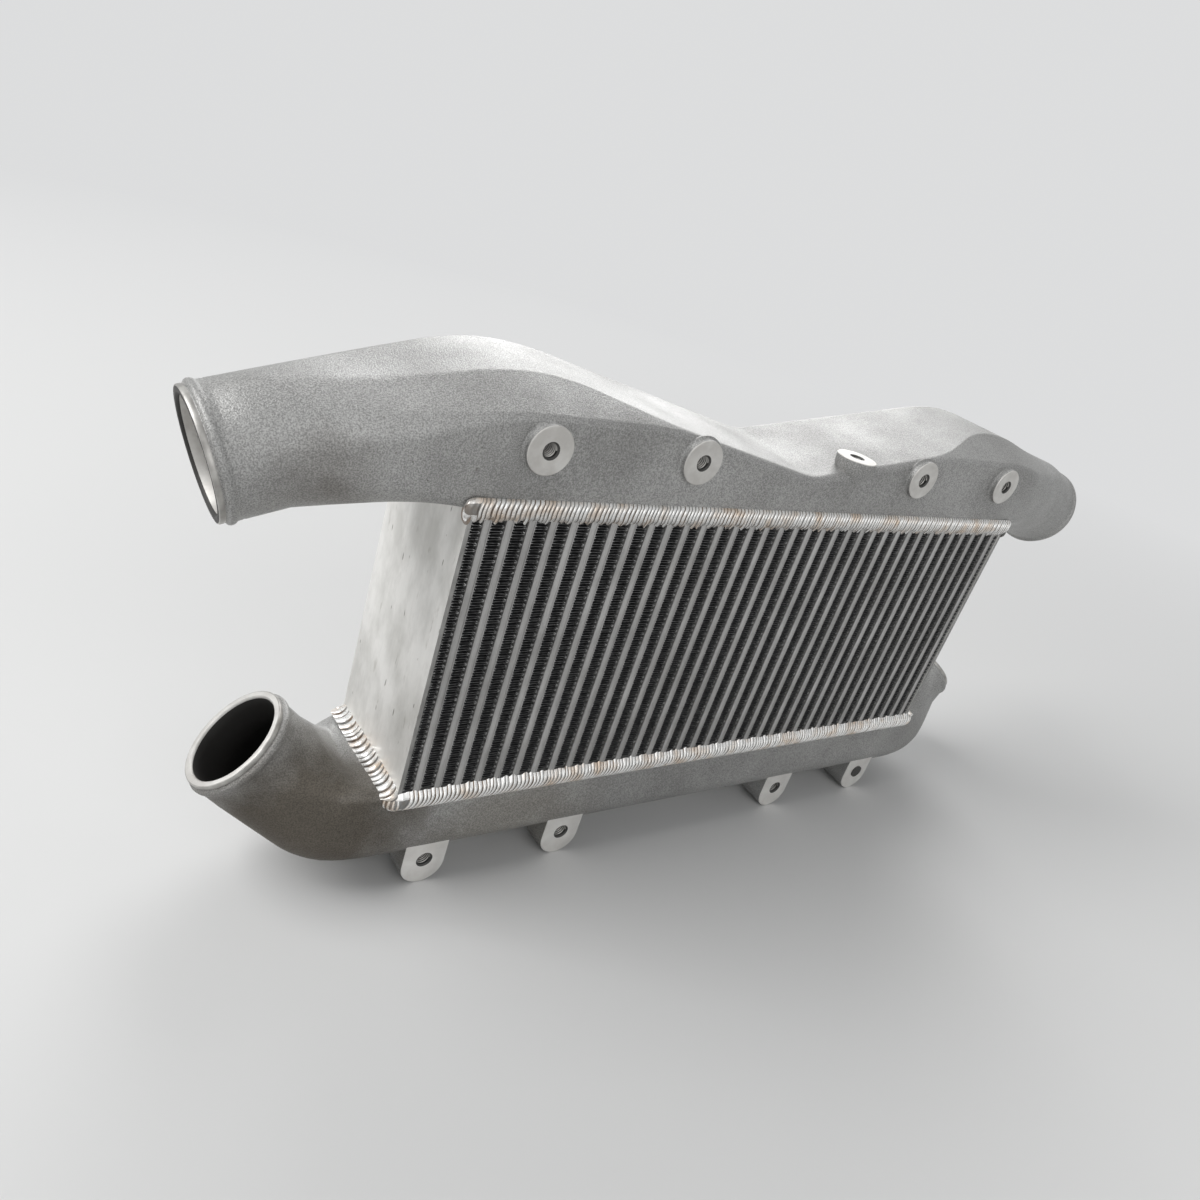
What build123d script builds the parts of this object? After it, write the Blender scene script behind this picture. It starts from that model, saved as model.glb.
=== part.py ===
from build123d import *

import os
from math import ceil, cos, radians, sin

# Bar and plate intercooler with two cast aluminium tanks, in millimetres.
# X runs along the core, Y from the front face to the rear, Z up.
# The origin is on the ground under the middle of the core.

# Core block
CORE_LENGTH = 495.0
CORE_DEPTH = 93.0
CORE_HEIGHT = 190.0
CORE_BOTTOM = 77.0
END_PLATE = 3.0
MIN_END_COLUMN = 3.0
PASSAGE_PITCH = 13.85
FACE_BAR_WIDTH = 3.5
FACE_BAR_DEPTH = 6.0
SHEET = 0.6
HEADER_BAR_HEIGHT = 4.0

# Corrugated fins: cooling fins fold up the column, charge fins fold across the depth
COOLING_FOLDS = 4
COOLING_FIN_METAL = 0.8
COOLING_FIN_RECESS = 0.8
CHARGE_FOLDS = 1
CHARGE_FIN_METAL = 0.8
CHARGE_FIN_GAP = 0.4

# Cast tanks
WALL = 5.0
SHARP_EDGE = 0.4
CORE_SEAT = 5.0
FLAT_ANGLE = 2.0
CHORD_ANGLE = 18.0

# Upper tank
VALLEY_HEIGHT = 31.5
CREST_HEIGHT = 68.2
CREST_LENGTH = 39.6
SHOULDER_DROP = 13.5
FACET_TILT = 23.9
REAR_EDGE_RADIUS = 9.0
UPPER_BEND_INSET = 15.5
UPPER_BEND_REACH = 37.6
UPPER_NECK_ANGLE = -18.4
UPPER_NECK_BOX = 53.9
UPPER_NECK_RUN = 60.0
UPPER_NECK_LENGTH = 34.4
UPPER_NECK_RADIUS = 33.8

# Lower tank
TROUGH_DEPTH = 55.0
ELBOW_DEPTH = 61.0
TROUGH_EDGE_RADIUS = 19.0
LOWER_BEND_INSET = 22.5
LOWER_BEND_REACH = 42.1
LOWER_NECK_ANGLE = 44.4
LOWER_NECK_SWING = 8.7
LOWER_NECK_SHIFT = 4.3
LOWER_NECK_RUN = 30.0
LOWER_NECK_LENGTH = 23.5
LOWER_NECK_RADIUS = 34.0

# Sections round each bend: share of the turn, share of the neck's run, share of roundness
UPPER_SECTIONS = ((1.0, 0.0, 0.3), (1.0, 0.5, 0.68), (1.0, 1.0, 1.0))
LOWER_SECTIONS = ((0.4, 0.0, 0.05), (0.7, 0.0, 0.15), (1.0, 0.0, 0.35), (1.0, 1.0, 1.0))

# Hose bead and machined lip at each mouth
BEAD_HEIGHT = 1.5
BEAD_WIDTH = 4.5
LIP_LENGTH = 3.5
LIP_STEP = 0.4

# Threaded bosses on the upper tank
BOSS_RADIUS = 14.0
BOSS_STAND = 4.0
BOSS_DEPTH = 22.0
BOSS_RISE = 38.0
BOSS_INNER = 106.0
BOSS_END_INSET = 35.5
THREAD_RADIUS = 4.2
THREAD_DEPTH = 16.0
TOP_BOSS_X = 40.0
TOP_BOSS_INSET = 8.0
TOP_BOSS_RISE = 46.5

# Mounting lugs under the lower tank
LUG_INNER = 109.0
LUG_END_INSET = 32.5
LUG_WIDTH = 30.0
LUG_RECESS = 2.0
LUG_DEPTH = 26.0
LUG_HOLE_RADIUS = 4.7
LUG_HOLE_RISE = 19.0
LUG_HOLE_DEPTH = 20.0

# Weld beads along both faces of the core and at the lower tank's ends
FACE_WELD_HEIGHT = 11.0
FACE_WELD_STAND = 4.0
FACE_WELD_OVERLAP = 2.5
FACE_WELD_RIPPLES = 12
END_WELD_ON_PLATE = 8.0
END_WELD_ON_TANK = 11.0
END_WELD_RIPPLES = 4
RIPPLE_DIP = 0.65
WELD_CHEEK = 0.7

CORE_TOP = CORE_BOTTOM + CORE_HEIGHT
HALF_LENGTH = CORE_LENGTH / 2
HALF_DEPTH = CORE_DEPTH / 2
PASSAGE_WIDTH = FACE_BAR_WIDTH + 2 * SHEET
PASSAGE_ROOM = CORE_LENGTH - 2 * (END_PLATE + MIN_END_COLUMN) - PASSAGE_WIDTH
PASSAGE_COUNT = int(PASSAGE_ROOM / PASSAGE_PITCH) + 1
UPPER_BEND_START = HALF_LENGTH - UPPER_BEND_INSET
LOWER_BEND_START = HALF_LENGTH - LOWER_BEND_INSET
BOSS_OUTER = HALF_LENGTH - BOSS_END_INSET
LUG_OUTER = HALF_LENGTH - LUG_END_INSET


def unit(angle):
    return Vector(cos(radians(angle)), sin(radians(angle)))


def meeting(first, second, inset):
    """Where two sides meet once both have moved in. A side is its outward angle and distance."""
    a, b = first[0], second[0]
    p, q = first[1] - inset, second[1] - inset
    turn = sin(radians(b - a))
    x = (p * sin(radians(b)) - q * sin(radians(a))) / turn
    y = (q * cos(radians(a)) - p * cos(radians(b))) / turn
    return Vector(x, y)


def outline(sides, corner, gap=0.0):
    """Points round a tank's section, corner by corner. Each corner turns from side to side."""
    points = []
    for index, side in enumerate(sides):
        last = sides[index - 1]
        turn = (side[0] - last[0]) % 360
        centre, radius = corner(index, last, side)
        chords = ceil(turn / CHORD_ANGLE)
        for step in range(chords + 1):
            angle = last[0] + gap + (turn - 2 * gap) * step / chords
            points.append(centre + unit(angle) * radius)
    return points


def boxy_outline(sides, radii):
    return outline(sides, lambda index, last, side: (meeting(last, side, radii[index]), radii[index]))


def round_outline(sides, radius, height):
    """A circle with as many points as a boxy outline."""
    return outline(sides, lambda index, last, side: (Vector(0, height), radius), FLAT_ANGLE)


def polygon_face(points):
    return Face(Wire.make_polygon(points, close=True))


def faceted(rings):
    """A solid with flat facets through rings of points."""
    faces = [polygon_face(rings[0]), polygon_face(rings[-1])]
    for near, far in zip(rings, rings[1:]):
        for index in range(len(near)):
            faces.append(polygon_face([near[index - 1], near[index], far[index]]))
            faces.append(polygon_face([near[index - 1], far[index], far[index - 1]]))
    return Solid(Shell(faces))


def station(x, z, angle=0.0, swing=0.0, shift=0.0, run=0.0):
    """A plane across a tank, its local X along the tank's depth and its local Y up."""
    a = radians(angle)
    s = radians(swing)
    along = Vector(cos(a) * cos(s), sin(s), sin(a) * cos(s))
    across = Vector(-cos(a) * sin(s), cos(s), -sin(a) * sin(s))
    return Plane(Vector(x, shift, z) + along * run, x_dir=across, z_dir=along)


def upper_station(turned, run=0.0):
    """A plane part of the way round the upper bend, or further along the neck."""
    x = UPPER_BEND_START + UPPER_BEND_REACH * turned * (2 - turned)
    return station(x, CORE_TOP, UPPER_NECK_ANGLE * turned, run=run)


def lower_station(turned, run=0.0):
    """A plane part of the way round the lower bend, or further along the neck."""
    x = LOWER_BEND_START + LOWER_BEND_REACH * turned * (2 - turned)
    swing = LOWER_NECK_SWING * turned
    return station(x, CORE_BOTTOM, LOWER_NECK_ANGLE * turned, swing, LOWER_NECK_SHIFT * turned, run)


def bend(first, box, ring, sections, place, run):
    """The solid that turns from a tank's end section, through its boxy bend, to a round neck."""
    rings = [[place(0.0).from_local_coords(point) for point in first]]
    for turned, gone, roundness in sections:
        plane = place(turned, run * gone)
        points = [a + (b - a) * roundness for a, b in zip(box, ring)]
        rings.append([plane.from_local_coords(point) for point in points])
    return faceted(rings)


def upper_sides(wall, height):
    side = HALF_DEPTH - wall
    tilt = radians(FACET_TILT)
    facet = HALF_DEPTH * sin(tilt) + (height - SHOULDER_DROP) * cos(tilt) - wall
    return [(-90, -wall), (0, side), (90, height - wall), (90 + FACET_TILT, facet), (180, side)]


def upper_box(wall, height):
    edge = SHARP_EDGE
    return boxy_outline(upper_sides(wall, height), [edge, edge, REAR_EDGE_RADIUS - wall, edge, edge])


def upper_bend(wall):
    ring = round_outline(upper_sides(wall, CREST_HEIGHT), UPPER_NECK_RADIUS - wall, UPPER_NECK_RADIUS)
    crest = upper_box(wall, CREST_HEIGHT)
    box = upper_box(wall, UPPER_NECK_BOX)
    return bend(crest, box, ring, UPPER_SECTIONS, upper_station, UPPER_NECK_RUN)


def upper_ridge(wall):
    """Half of the upper tank's straight body, rising from the middle to the bend."""
    crest_start = UPPER_BEND_START - CREST_LENGTH
    side = HALF_DEPTH - wall
    crest = CREST_HEIGHT - wall
    profile = Plane.XZ * Pos(0, CORE_TOP) * make_face(
        Polyline((0, 0), (UPPER_BEND_START, 0), (UPPER_BEND_START, crest), (crest_start, crest),
                 (0, VALLEY_HEIGHT - wall), close=True)
    )
    body = extrude(profile, side, both=True)
    tilt = radians(FACET_TILT)
    shoulder = CORE_TOP + CREST_HEIGHT - SHOULDER_DROP
    slope = Plane((0, -HALF_DEPTH, shoulder), x_dir=(1, 0, 0), z_dir=(0, -sin(tilt), cos(tilt)))
    body = split(body, bisect_by=slope.offset(-wall), keep=Keep.BOTTOM)
    rear_edges = body.faces().sort_by(Axis.Y)[-1].edges().sort_by(Axis.Z)[-2:]
    return fillet(rear_edges, REAR_EDGE_RADIUS - wall)


def lower_sides(wall, depth):
    side = HALF_DEPTH - wall
    return [(-90, depth - wall), (0, side), (90, -wall), (180, side)]


def lower_box(wall, depth):
    edge = TROUGH_EDGE_RADIUS - wall
    return boxy_outline(lower_sides(wall, depth), [edge, edge, SHARP_EDGE, SHARP_EDGE])


def lower_bend(wall):
    ring = round_outline(lower_sides(wall, ELBOW_DEPTH), LOWER_NECK_RADIUS - wall, -LOWER_NECK_RADIUS)
    trough = lower_box(wall, TROUGH_DEPTH)
    box = lower_box(wall, ELBOW_DEPTH)
    return bend(trough, box, ring, LOWER_SECTIONS, lower_station, LOWER_NECK_RUN)


def lower_trough(wall):
    """Half of the lower tank's straight body."""
    side = HALF_DEPTH - wall
    body = block(0, LOWER_BEND_START, -side, side, CORE_BOTTOM - TROUGH_DEPTH + wall, CORE_BOTTOM - wall)
    bottom_edges = body.edges().filter_by(Axis.X).sort_by(Axis.Z)[:2]
    return fillet(bottom_edges, TROUGH_EDGE_RADIUS - wall)


def neck(plane, radius, centre, length):
    """The straight pipe from a bend to its mouth, with its hose bead and lip."""
    bore = radius - WALL
    lip = radius - LIP_STEP
    crown = radius + BEAD_HEIGHT
    bead_end = length - LIP_LENGTH
    bead_start = bead_end - BEAD_WIDTH
    profile = Plane.XZ * make_face(
        Polyline((bore, 0), (radius, 0), (radius, bead_start), (crown, (bead_start + bead_end) / 2),
                 (lip, bead_end), (lip, length), (bore, length), close=True)
    )
    pipe = revolve(profile, axis=Axis.Z)
    return plane.shift_origin(plane.from_local_coords((0, centre, 0))).location * pipe


def both_sides(shape):
    return [shape, mirror(shape, about=Plane.YZ)]


def core_window(z):
    """The hole through a tank's seat on the core."""
    length = CORE_LENGTH - 2 * CORE_SEAT
    depth = CORE_DEPTH - 2 * CORE_SEAT
    return Pos(0, 0, z) * Box(length, depth, 2 * WALL)


def boss():
    """A round pad with its face at the origin, facing up."""
    return Cylinder(BOSS_RADIUS, BOSS_DEPTH, align=(Align.CENTER, Align.CENTER, Align.MAX))


def blind_hole(radius, depth):
    return Cylinder(radius, depth, align=(Align.CENTER, Align.CENTER, Align.MAX))


def boss_places():
    """Places of the threaded pads: four on the front face and one on top."""
    face = Plane((0, -HALF_DEPTH - BOSS_STAND, CORE_TOP + BOSS_RISE), x_dir=(1, 0, 0), z_dir=(0, -1, 0))
    for x in (-BOSS_OUTER, -BOSS_INNER, BOSS_INNER, BOSS_OUTER):
        yield face.location * Pos(x, 0, 0)
    yield Pos(TOP_BOSS_X, TOP_BOSS_INSET - HALF_DEPTH, CORE_TOP + TOP_BOSS_RISE)


def hollowed(straight, turning, window):
    """A tank body: both halves of its outer shape, less both halves of its inner shape."""
    outer = straight(0.0) + turning(0.0)
    inner = straight(WALL) + turning(WALL)
    return outer + mirror(outer, about=Plane.YZ) - (inner + mirror(inner, about=Plane.YZ)) - window


def upper_tank():
    tank = hollowed(upper_ridge, upper_bend, core_window(CORE_TOP))
    place = upper_station(1.0, UPPER_NECK_RUN)
    for pipe in both_sides(neck(place, UPPER_NECK_RADIUS, UPPER_NECK_RADIUS, UPPER_NECK_LENGTH)):
        tank += pipe
    for place in boss_places():
        tank += place * boss()
    for place in boss_places():
        tank -= place * blind_hole(THREAD_RADIUS, THREAD_DEPTH)
    return tank


def lug():
    """A foot with a round end, its face at the origin, facing up."""
    radius = LUG_WIDTH / 2
    top = CORE_BOTTOM - TROUGH_DEPTH + TROUGH_EDGE_RADIUS
    profile = Pos(0, radius) * Circle(radius) + Pos(0, (radius + top) / 2) * Rectangle(LUG_WIDTH, top - radius)
    return extrude(profile, -LUG_DEPTH)


def lug_places(side):
    """Places of the four feet on the front (-1) or the rear (1) of the tank."""
    face = Plane((0, side * (HALF_DEPTH - LUG_RECESS), 0), x_dir=(-side, 0, 0), z_dir=(0, side, 0))
    for x in (-LUG_OUTER, -LUG_INNER, LUG_INNER, LUG_OUTER):
        yield face.location * Pos(x, 0, 0)


def lower_tank():
    tank = hollowed(lower_trough, lower_bend, core_window(CORE_BOTTOM))
    cavity = lower_trough(WALL)
    cavity += mirror(cavity, about=Plane.YZ)
    for side in (-1, 1):
        for place in lug_places(side):
            tank += place * lug() - cavity
    for place in lug_places(-1):
        tank -= place * Pos(0, LUG_HOLE_RISE, 0) * blind_hole(LUG_HOLE_RADIUS, LUG_HOLE_DEPTH)
    place = lower_station(1.0, LOWER_NECK_RUN)
    for pipe in both_sides(neck(place, LOWER_NECK_RADIUS, -LOWER_NECK_RADIUS, LOWER_NECK_LENGTH)):
        tank += pipe
    return tank


def passage_centres():
    """The X of each charge air passage."""
    first = -PASSAGE_PITCH * (PASSAGE_COUNT - 1) / 2
    return [first + PASSAGE_PITCH * index for index in range(PASSAGE_COUNT)]


def cooling_gaps():
    """The X limits of each cooling air column, between the sheets and the end plates."""
    left_edges = [-HALF_LENGTH + END_PLATE] + [x + PASSAGE_WIDTH / 2 for x in passage_centres()]
    right_edges = [x - PASSAGE_WIDTH / 2 for x in passage_centres()] + [HALF_LENGTH - END_PLATE]
    return list(zip(left_edges, right_edges))


def block(x0, x1, y0, y1, z0, z1):
    return Pos((x0 + x1) / 2, (y0 + y1) / 2, (z0 + z1) / 2) * Box(x1 - x0, y1 - y0, z1 - z0)


def end_plate(side):
    x = side * (HALF_LENGTH - END_PLATE / 2)
    return block(x - END_PLATE / 2, x + END_PLATE / 2, -HALF_DEPTH, HALF_DEPTH, CORE_BOTTOM, CORE_TOP)


def face_bars(side):
    """The bars that close the charge passages on one face of the core."""
    outer = side * HALF_DEPTH
    inner = side * (HALF_DEPTH - FACE_BAR_DEPTH)
    half = FACE_BAR_WIDTH / 2
    return [
        block(x - half, x + half, min(outer, inner), max(outer, inner), CORE_BOTTOM, CORE_TOP)
        for x in passage_centres()
    ]


def parting_sheets():
    """A thin sheet on each side of every charge passage."""
    near = FACE_BAR_WIDTH / 2
    return [
        block(x + left, x + left + SHEET, -HALF_DEPTH, HALF_DEPTH, CORE_BOTTOM, CORE_TOP)
        for x in passage_centres()
        for left in (-near - SHEET, near)
    ]


def header_bars(z0):
    """The bars that close the cooling columns against one tank."""
    return [
        block(x0, x1, -HALF_DEPTH, HALF_DEPTH, z0, z0 + HEADER_BAR_HEIGHT) for x0, x1 in cooling_gaps()
    ]


def corrugation(width, length, folds, metal):
    """A strip folded in a zigzag up its length, centred on the origin."""
    steps = 2 * folds
    rise = length / steps
    reach = width - metal
    near_side = []
    for index in range(steps + 1):
        x = -width / 2 + (reach if index % 2 else 0)
        near_side.append((x, -length / 2 + rise * index))
    far_side = [(x + metal, y) for x, y in reversed(near_side)]
    return make_face(Polyline(*near_side, *far_side, close=True))


def cooling_fin(x0, x1):
    height = CORE_HEIGHT - 2 * HEADER_BAR_HEIGHT
    depth = CORE_DEPTH - 2 * COOLING_FIN_RECESS
    strip = extrude(corrugation(x1 - x0, height, COOLING_FOLDS, COOLING_FIN_METAL), depth / 2, both=True)
    return Pos((x0 + x1) / 2, 0, CORE_BOTTOM + CORE_HEIGHT / 2) * Rot(90, 0, 0) * strip


def charge_fins():
    """The folded strips inside the charge passages."""
    depth = CORE_DEPTH - 2 * (FACE_BAR_DEPTH + CHARGE_FIN_GAP)
    strip = extrude(
        corrugation(FACE_BAR_WIDTH, depth, CHARGE_FOLDS, CHARGE_FIN_METAL), CORE_HEIGHT / 2, both=True
    )
    return [Pos(x, 0, CORE_BOTTOM + CORE_HEIGHT / 2) * strip for x in passage_centres()]


def weld_bead(corners, length, ripples):
    """A rippled bead along X. Its section swells and shrinks about the origin."""
    rings = []
    for index in range(2 * ripples + 1):
        x = -length / 2 + length * index / (2 * ripples)
        size = 1.0 if index % 2 else RIPPLE_DIP
        rings.append([(x, y * size, z * size) for y, z in corners])
    return faceted(rings)


def face_weld(side, z):
    """The bead where a tank meets the core's front or rear face."""
    half = FACE_WELD_HEIGHT / 2
    stand = side * FACE_WELD_STAND
    cheek = stand * WELD_CHEEK
    corners = [(0, -half), (cheek, -half * WELD_CHEEK), (stand, 0), (cheek, half * WELD_CHEEK), (0, half)]
    return Pos(0, side * HALF_DEPTH, z) * weld_bead(corners, CORE_LENGTH + END_WELD_ON_PLATE, FACE_WELD_RIPPLES)


def end_weld(side):
    """The fillet where the lower tank meets an end plate."""
    up = END_WELD_ON_PLATE
    out = side * END_WELD_ON_TANK
    corners = [(0, 0), (out, 0), (out * WELD_CHEEK * WELD_CHEEK, up * WELD_CHEEK * WELD_CHEEK), (0, up)]
    bead = weld_bead(corners, CORE_DEPTH, END_WELD_RIPPLES)
    return Pos(side * HALF_LENGTH, 0, CORE_BOTTOM) * Rot(0, 0, -90) * bead


def save(name, shape):
    solids = Compound(shape) if isinstance(shape, list) else shape
    export_step(solids, f"parts/{name}.step")


def main():
    os.makedirs("parts", exist_ok=True)
    save("upper_tank", upper_tank())
    save("lower_tank", lower_tank())
    save("left_end_plate", end_plate(-1))
    save("right_end_plate", end_plate(1))
    save("front_face_bars", face_bars(-1))
    save("rear_face_bars", face_bars(1))
    save("parting_sheets", parting_sheets())
    save("lower_header_bars", header_bars(CORE_BOTTOM))
    save("upper_header_bars", header_bars(CORE_TOP - HEADER_BAR_HEIGHT))
    for number, (x0, x1) in enumerate(cooling_gaps(), start=1):
        save(f"cooling_fin_{number:02d}", cooling_fin(x0, x1))
    save("charge_fins", charge_fins())
    upper_weld = CORE_TOP - FACE_WELD_OVERLAP + FACE_WELD_HEIGHT / 2
    lower_weld = CORE_BOTTOM + FACE_WELD_OVERLAP - FACE_WELD_HEIGHT / 2
    save("upper_front_weld", face_weld(-1, upper_weld))
    save("upper_rear_weld", face_weld(1, upper_weld))
    save("lower_front_weld", face_weld(-1, lower_weld))
    save("lower_rear_weld", face_weld(1, lower_weld))
    save("lower_left_weld", end_weld(-1))
    save("lower_right_weld", end_weld(1))


main()
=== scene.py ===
import random
from math import ceil, cos, pi, radians, sin, sqrt, tan

import bmesh
import bpy
import numpy as np
from mathutils import Matrix, Vector


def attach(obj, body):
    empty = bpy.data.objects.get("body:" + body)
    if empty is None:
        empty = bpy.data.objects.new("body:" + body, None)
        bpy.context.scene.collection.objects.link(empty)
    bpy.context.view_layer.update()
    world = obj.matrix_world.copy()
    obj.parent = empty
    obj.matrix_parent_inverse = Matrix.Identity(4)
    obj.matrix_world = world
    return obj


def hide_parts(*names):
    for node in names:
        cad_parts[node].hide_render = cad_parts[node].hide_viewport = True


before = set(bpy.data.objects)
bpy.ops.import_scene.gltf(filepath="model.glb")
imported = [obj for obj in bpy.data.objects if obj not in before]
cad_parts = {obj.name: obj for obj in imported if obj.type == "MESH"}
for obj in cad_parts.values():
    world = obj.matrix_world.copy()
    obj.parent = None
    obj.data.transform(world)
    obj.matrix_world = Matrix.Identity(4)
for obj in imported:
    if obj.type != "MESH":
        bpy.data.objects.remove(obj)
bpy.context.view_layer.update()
random.seed(7)

# Sizes are in millimetres, as the solids have them. Pieces are scaled to metres when they are made.
MM = 0.001

# Core
CORE_LENGTH = 495.0
CORE_DEPTH = 93.0
CORE_HEIGHT = 190.0
CORE_BOTTOM = 77.0
END_PLATE = 3.0
END_PLATE_EDGE_BREAK = 0.5
PASSAGE_COUNT = 35
PASSAGE_PITCH = 13.85
FACE_BAR_WIDTH = 3.5
FACE_BAR_DEPTH = 6.0
FACE_BAR_EDGE_BREAK = 0.45
SHEET = 0.6
HEADER_BAR_HEIGHT = 4.0

# Cooling fins
FIN_PITCH = 3.5
FIN_METAL = 0.25
FIN_RECESS = 0.8
FIN_ROW_DEPTH = 6.0
FIN_ROW_GAP = 0.3
FIN_END_GAP = 0.3
FIN_SWAY = 0.16
FIN_START_SPREAD = 0.5
FILLING_RECESS = 1.0
FOLD_REACH = 1.4

# Heights of a leg's four points, as shares of the fin pitch: two on the fold and two on the slope
LEG_SHARES = (0.0, 0.24, 0.35, 0.4)

# Tanks
WALL = 5.0
WINDOW_EDGE = 5.5
ROOM_CLEARANCE = 0.2
CHORD_ANGLE = 5.0
FLAT_ANGLE = 2.0
VALLEY_HEIGHT = 31.5
CREST_HEIGHT = 68.2
RISE_ANGLE = 10.8
SHOULDER_DROP = 13.5
FACET_TILT = 23.9
REAR_EDGE_RADIUS = 9.0
FRONT_EDGE_RADIUS = 5.0
SEAT_EDGE_RADIUS = 1.0
UPPER_BEND_START = 232.0
UPPER_BEND_END = 269.6
UPPER_BEND_RUN = 45.0
UPPER_NECK_ANGLE = -18.4
UPPER_NECK_BOX = 53.9
UPPER_NECK_RUN = 60.0
UPPER_NECK_LENGTH = 34.4
UPPER_NECK_RADIUS = 33.8
TROUGH_DEPTH = 55.0
ELBOW_DEPTH = 61.0
TROUGH_EDGE_RADIUS = 19.0
LAND_EDGE_RADIUS = 2.5
LOWER_BEND_START = 225.0
LOWER_BEND_END = 267.1
LOWER_BEND_STRETCH = 1.3
LOWER_NECK_ANGLE = 44.4
LOWER_NECK_SWING = 8.7
LOWER_NECK_SHIFT = 4.3
LOWER_NECK_RUN = 30.0
LOWER_NECK_LENGTH = 23.5
LOWER_NECK_RADIUS = 34.0

# Sections up the upper neck: share of the neck's run, roundness
UPPER_SECTIONS = ((0.0, 0.3), (0.5, 0.68), (1.0, 1.0))

# Sections round the lower bend: share of the turn, of the neck's run, roundness, depth, shoulder radius
LOWER_SECTIONS = ((0.4, 0.0, 0.05, 61.0, 2.5), (0.7, 0.0, 0.15, 60.0, 16.0), (1.0, 0.0, 0.35, 56.0, 18.0),
                  (1.0, 1.0, 1.0, 61.0, 18.0))

# Rings along a tank, and how far its creases are softened: at the middle, how slowly it grows, and at most
RING_STEP = 4.0
CREASE_SAMPLES = 7
MIDDLE_SOFTNESS = 8.0
SOFTNESS_SPREAD = 18.0
UPPER_SOFTNESS = 18.0
LOWER_SOFTNESS = 9.0

# A mouth from the neck to its end and back down the bore: distance from the end, step from the wall
MOUTH_OUTSIDE = ((13.0, 0.0), (12.0, -0.25), (11.0, 0.0), (9.4, 0.0), (8.6, 0.3), (7.7, 0.9), (6.8, 1.2),
                 (5.4, 1.25), (4.6, 0.9), (3.9, 0.0), (3.5, -0.6), (3.1, -0.7), (2.6, -0.45), (0.7, -0.45),
                 (0.2, -0.7), (0.0, -1.2))
MOUTH_BORE = ((0.0, 1.0), (0.5, 0.4), (1.6, 0.0), (8.0, 0.0))
NECK_START = 6.0
BORE_START = 8.0

# A mouth's rings from the lip, from the end face and from the bore on, counted from its last one
LIP_RINGS = 10
RIM_RINGS = 6
BORE_RINGS = 3

# Bosses and their threads
THREAD_RADIUS = 4.2
THREAD_DEPTH = 16.0
THREAD_PITCH = 1.5
THREAD_TURNS = 8
THREAD_STEPS = 20
THREAD_START = 1.6
THREAD_ROOT = 0.3
THREAD_RIDGE = 0.45
THREAD_RISE_SHARE = 0.42
COUNTERSINK = 1.0
DRILL_POINT_SHARE = 0.5
BOSS_RADIUS = 14.0
BOSS_STAND = 4.0
BOSS_DEPTH = 22.0
BOSS_RISE = 38.0
BOSS_INNER = 106.0
BOSS_OUTER = 212.0
BOSS_FILLET = 1.6
BOSS_EDGE_BREAK = 0.5
BOSS_TAPER_STEP = 0.8
BOSS_TAPER_START = 7.0
BOSS_TAPER_END = 18.0
BOSS_CORE_RADIUS = THREAD_RADIUS + 4.0
TOP_BOSS_X = 40.0
TOP_BOSS_INSET = 8.0
TOP_BOSS_RISE = 46.5

# Lugs
LUG_INNER = 109.0
LUG_OUTER = 215.0
LUG_WIDTH = 30.0
LUG_RECESS = 2.0
LUG_DEPTH = 26.0
LUG_CHORDS = 20
LUG_EDGE_BREAK = 0.6
LUG_HOLE_RADIUS = 4.7
LUG_HOLE_RISE = 19.0
LUG_HOLE_DEPTH = 20.0

# Welds
FACE_WELD_HEIGHT = 11.0
FACE_WELD_STAND = 4.0
FACE_WELD_OVERLAP = 2.5
FACE_WELD_HEM = 1.6
FACE_WELD_OVERRUN = 4.0
END_WELD_ON_PLATE = 7.0
END_WELD_ON_TANK = 9.5
END_WELD_SWELL = 1.2
END_WELD_OVERRUN = 1.0
RIPPLE_PITCH = 2.8
END_RIPPLE_PITCH = 5.0
RIPPLE_SHARES = (0.0, 0.14, 0.32, 0.5, 0.68, 0.86)
CRATER_LENGTH = 9.0
CRATER_STEP = 0.9
BEAD_STEPS = 10
BEAD_EDGE_POINTS = 2
BEAD_ROOT_DEPTH = 0.8
BEAD_ROOT_INSET = 0.6
BEAD_END_LENGTH = 5.0
BEAD_END_STAND = 0.1
BEAD_END_HEIGHT = 0.15
FADE_LENGTH = 50.0
UPPER_TOOTH = 2.6
LOWER_TOOTH = 1.8
TOOTH_SHIFT = 2.1
TOOTH_POWER = 6
CORNER_RIPPLES = 9
CORNER_ARC = 5.0
CORNER_IN_LENGTH = 0.5
CORNER_IN_DEPTH = 4.6
CORNER_DROP = 3.3

# Patches of weld metal over the ends of an upper bead: their radii, and whether each has the valley's dark
# colour
BEAD_TAILS = (((0.5, 5.5, 5.5), 1), ((1.1, 3.5, 4), 0))
TAIL_IN_DEPTH = 3.0
TAIL_DROP = 2.5

# Tolerances and how far a cutter passes what it cuts
SAME_PLACE = 0.01
SEAM_MERGE = 0.02
AXIS_MERGE = 0.001
CUT_MARGIN = 1.0
SMOOTH_ANGLE = 35.0

# Stage, in metres but for the floor's size. A lamp has its place, its size and its power in watts.
BACKDROP = (0.72, 0.725, 0.73)
FLOOR_SIZE = 12000
FLOOR_FADE_START = 0.7
FLOOR_FADE_END = 2.2
LAMP_AIM = (0, 0, 0.16)
LAMPS = {
    "key": ((-3.0, 1.0, 2.8), 2.6, 150),
    "fill": ((-0.2, -2.2, 1.3), 2.0, 14),
    "back": ((2.6, 3.6, 2.6), 3.2, 135),
}
CAMERA_PLACE = (-0.48745, -0.43754, 0.45538)
CAMERA_RIGHT = (0.8021, -0.5233, 0.2877)
CAMERA_UP = (0.026, 0.5119, 0.8587)
CAMERA_BACK = (-0.5966, -0.6813, 0.4242)
CAMERA_LENS = 28.8
CAMERA_SENSOR = 36

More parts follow.
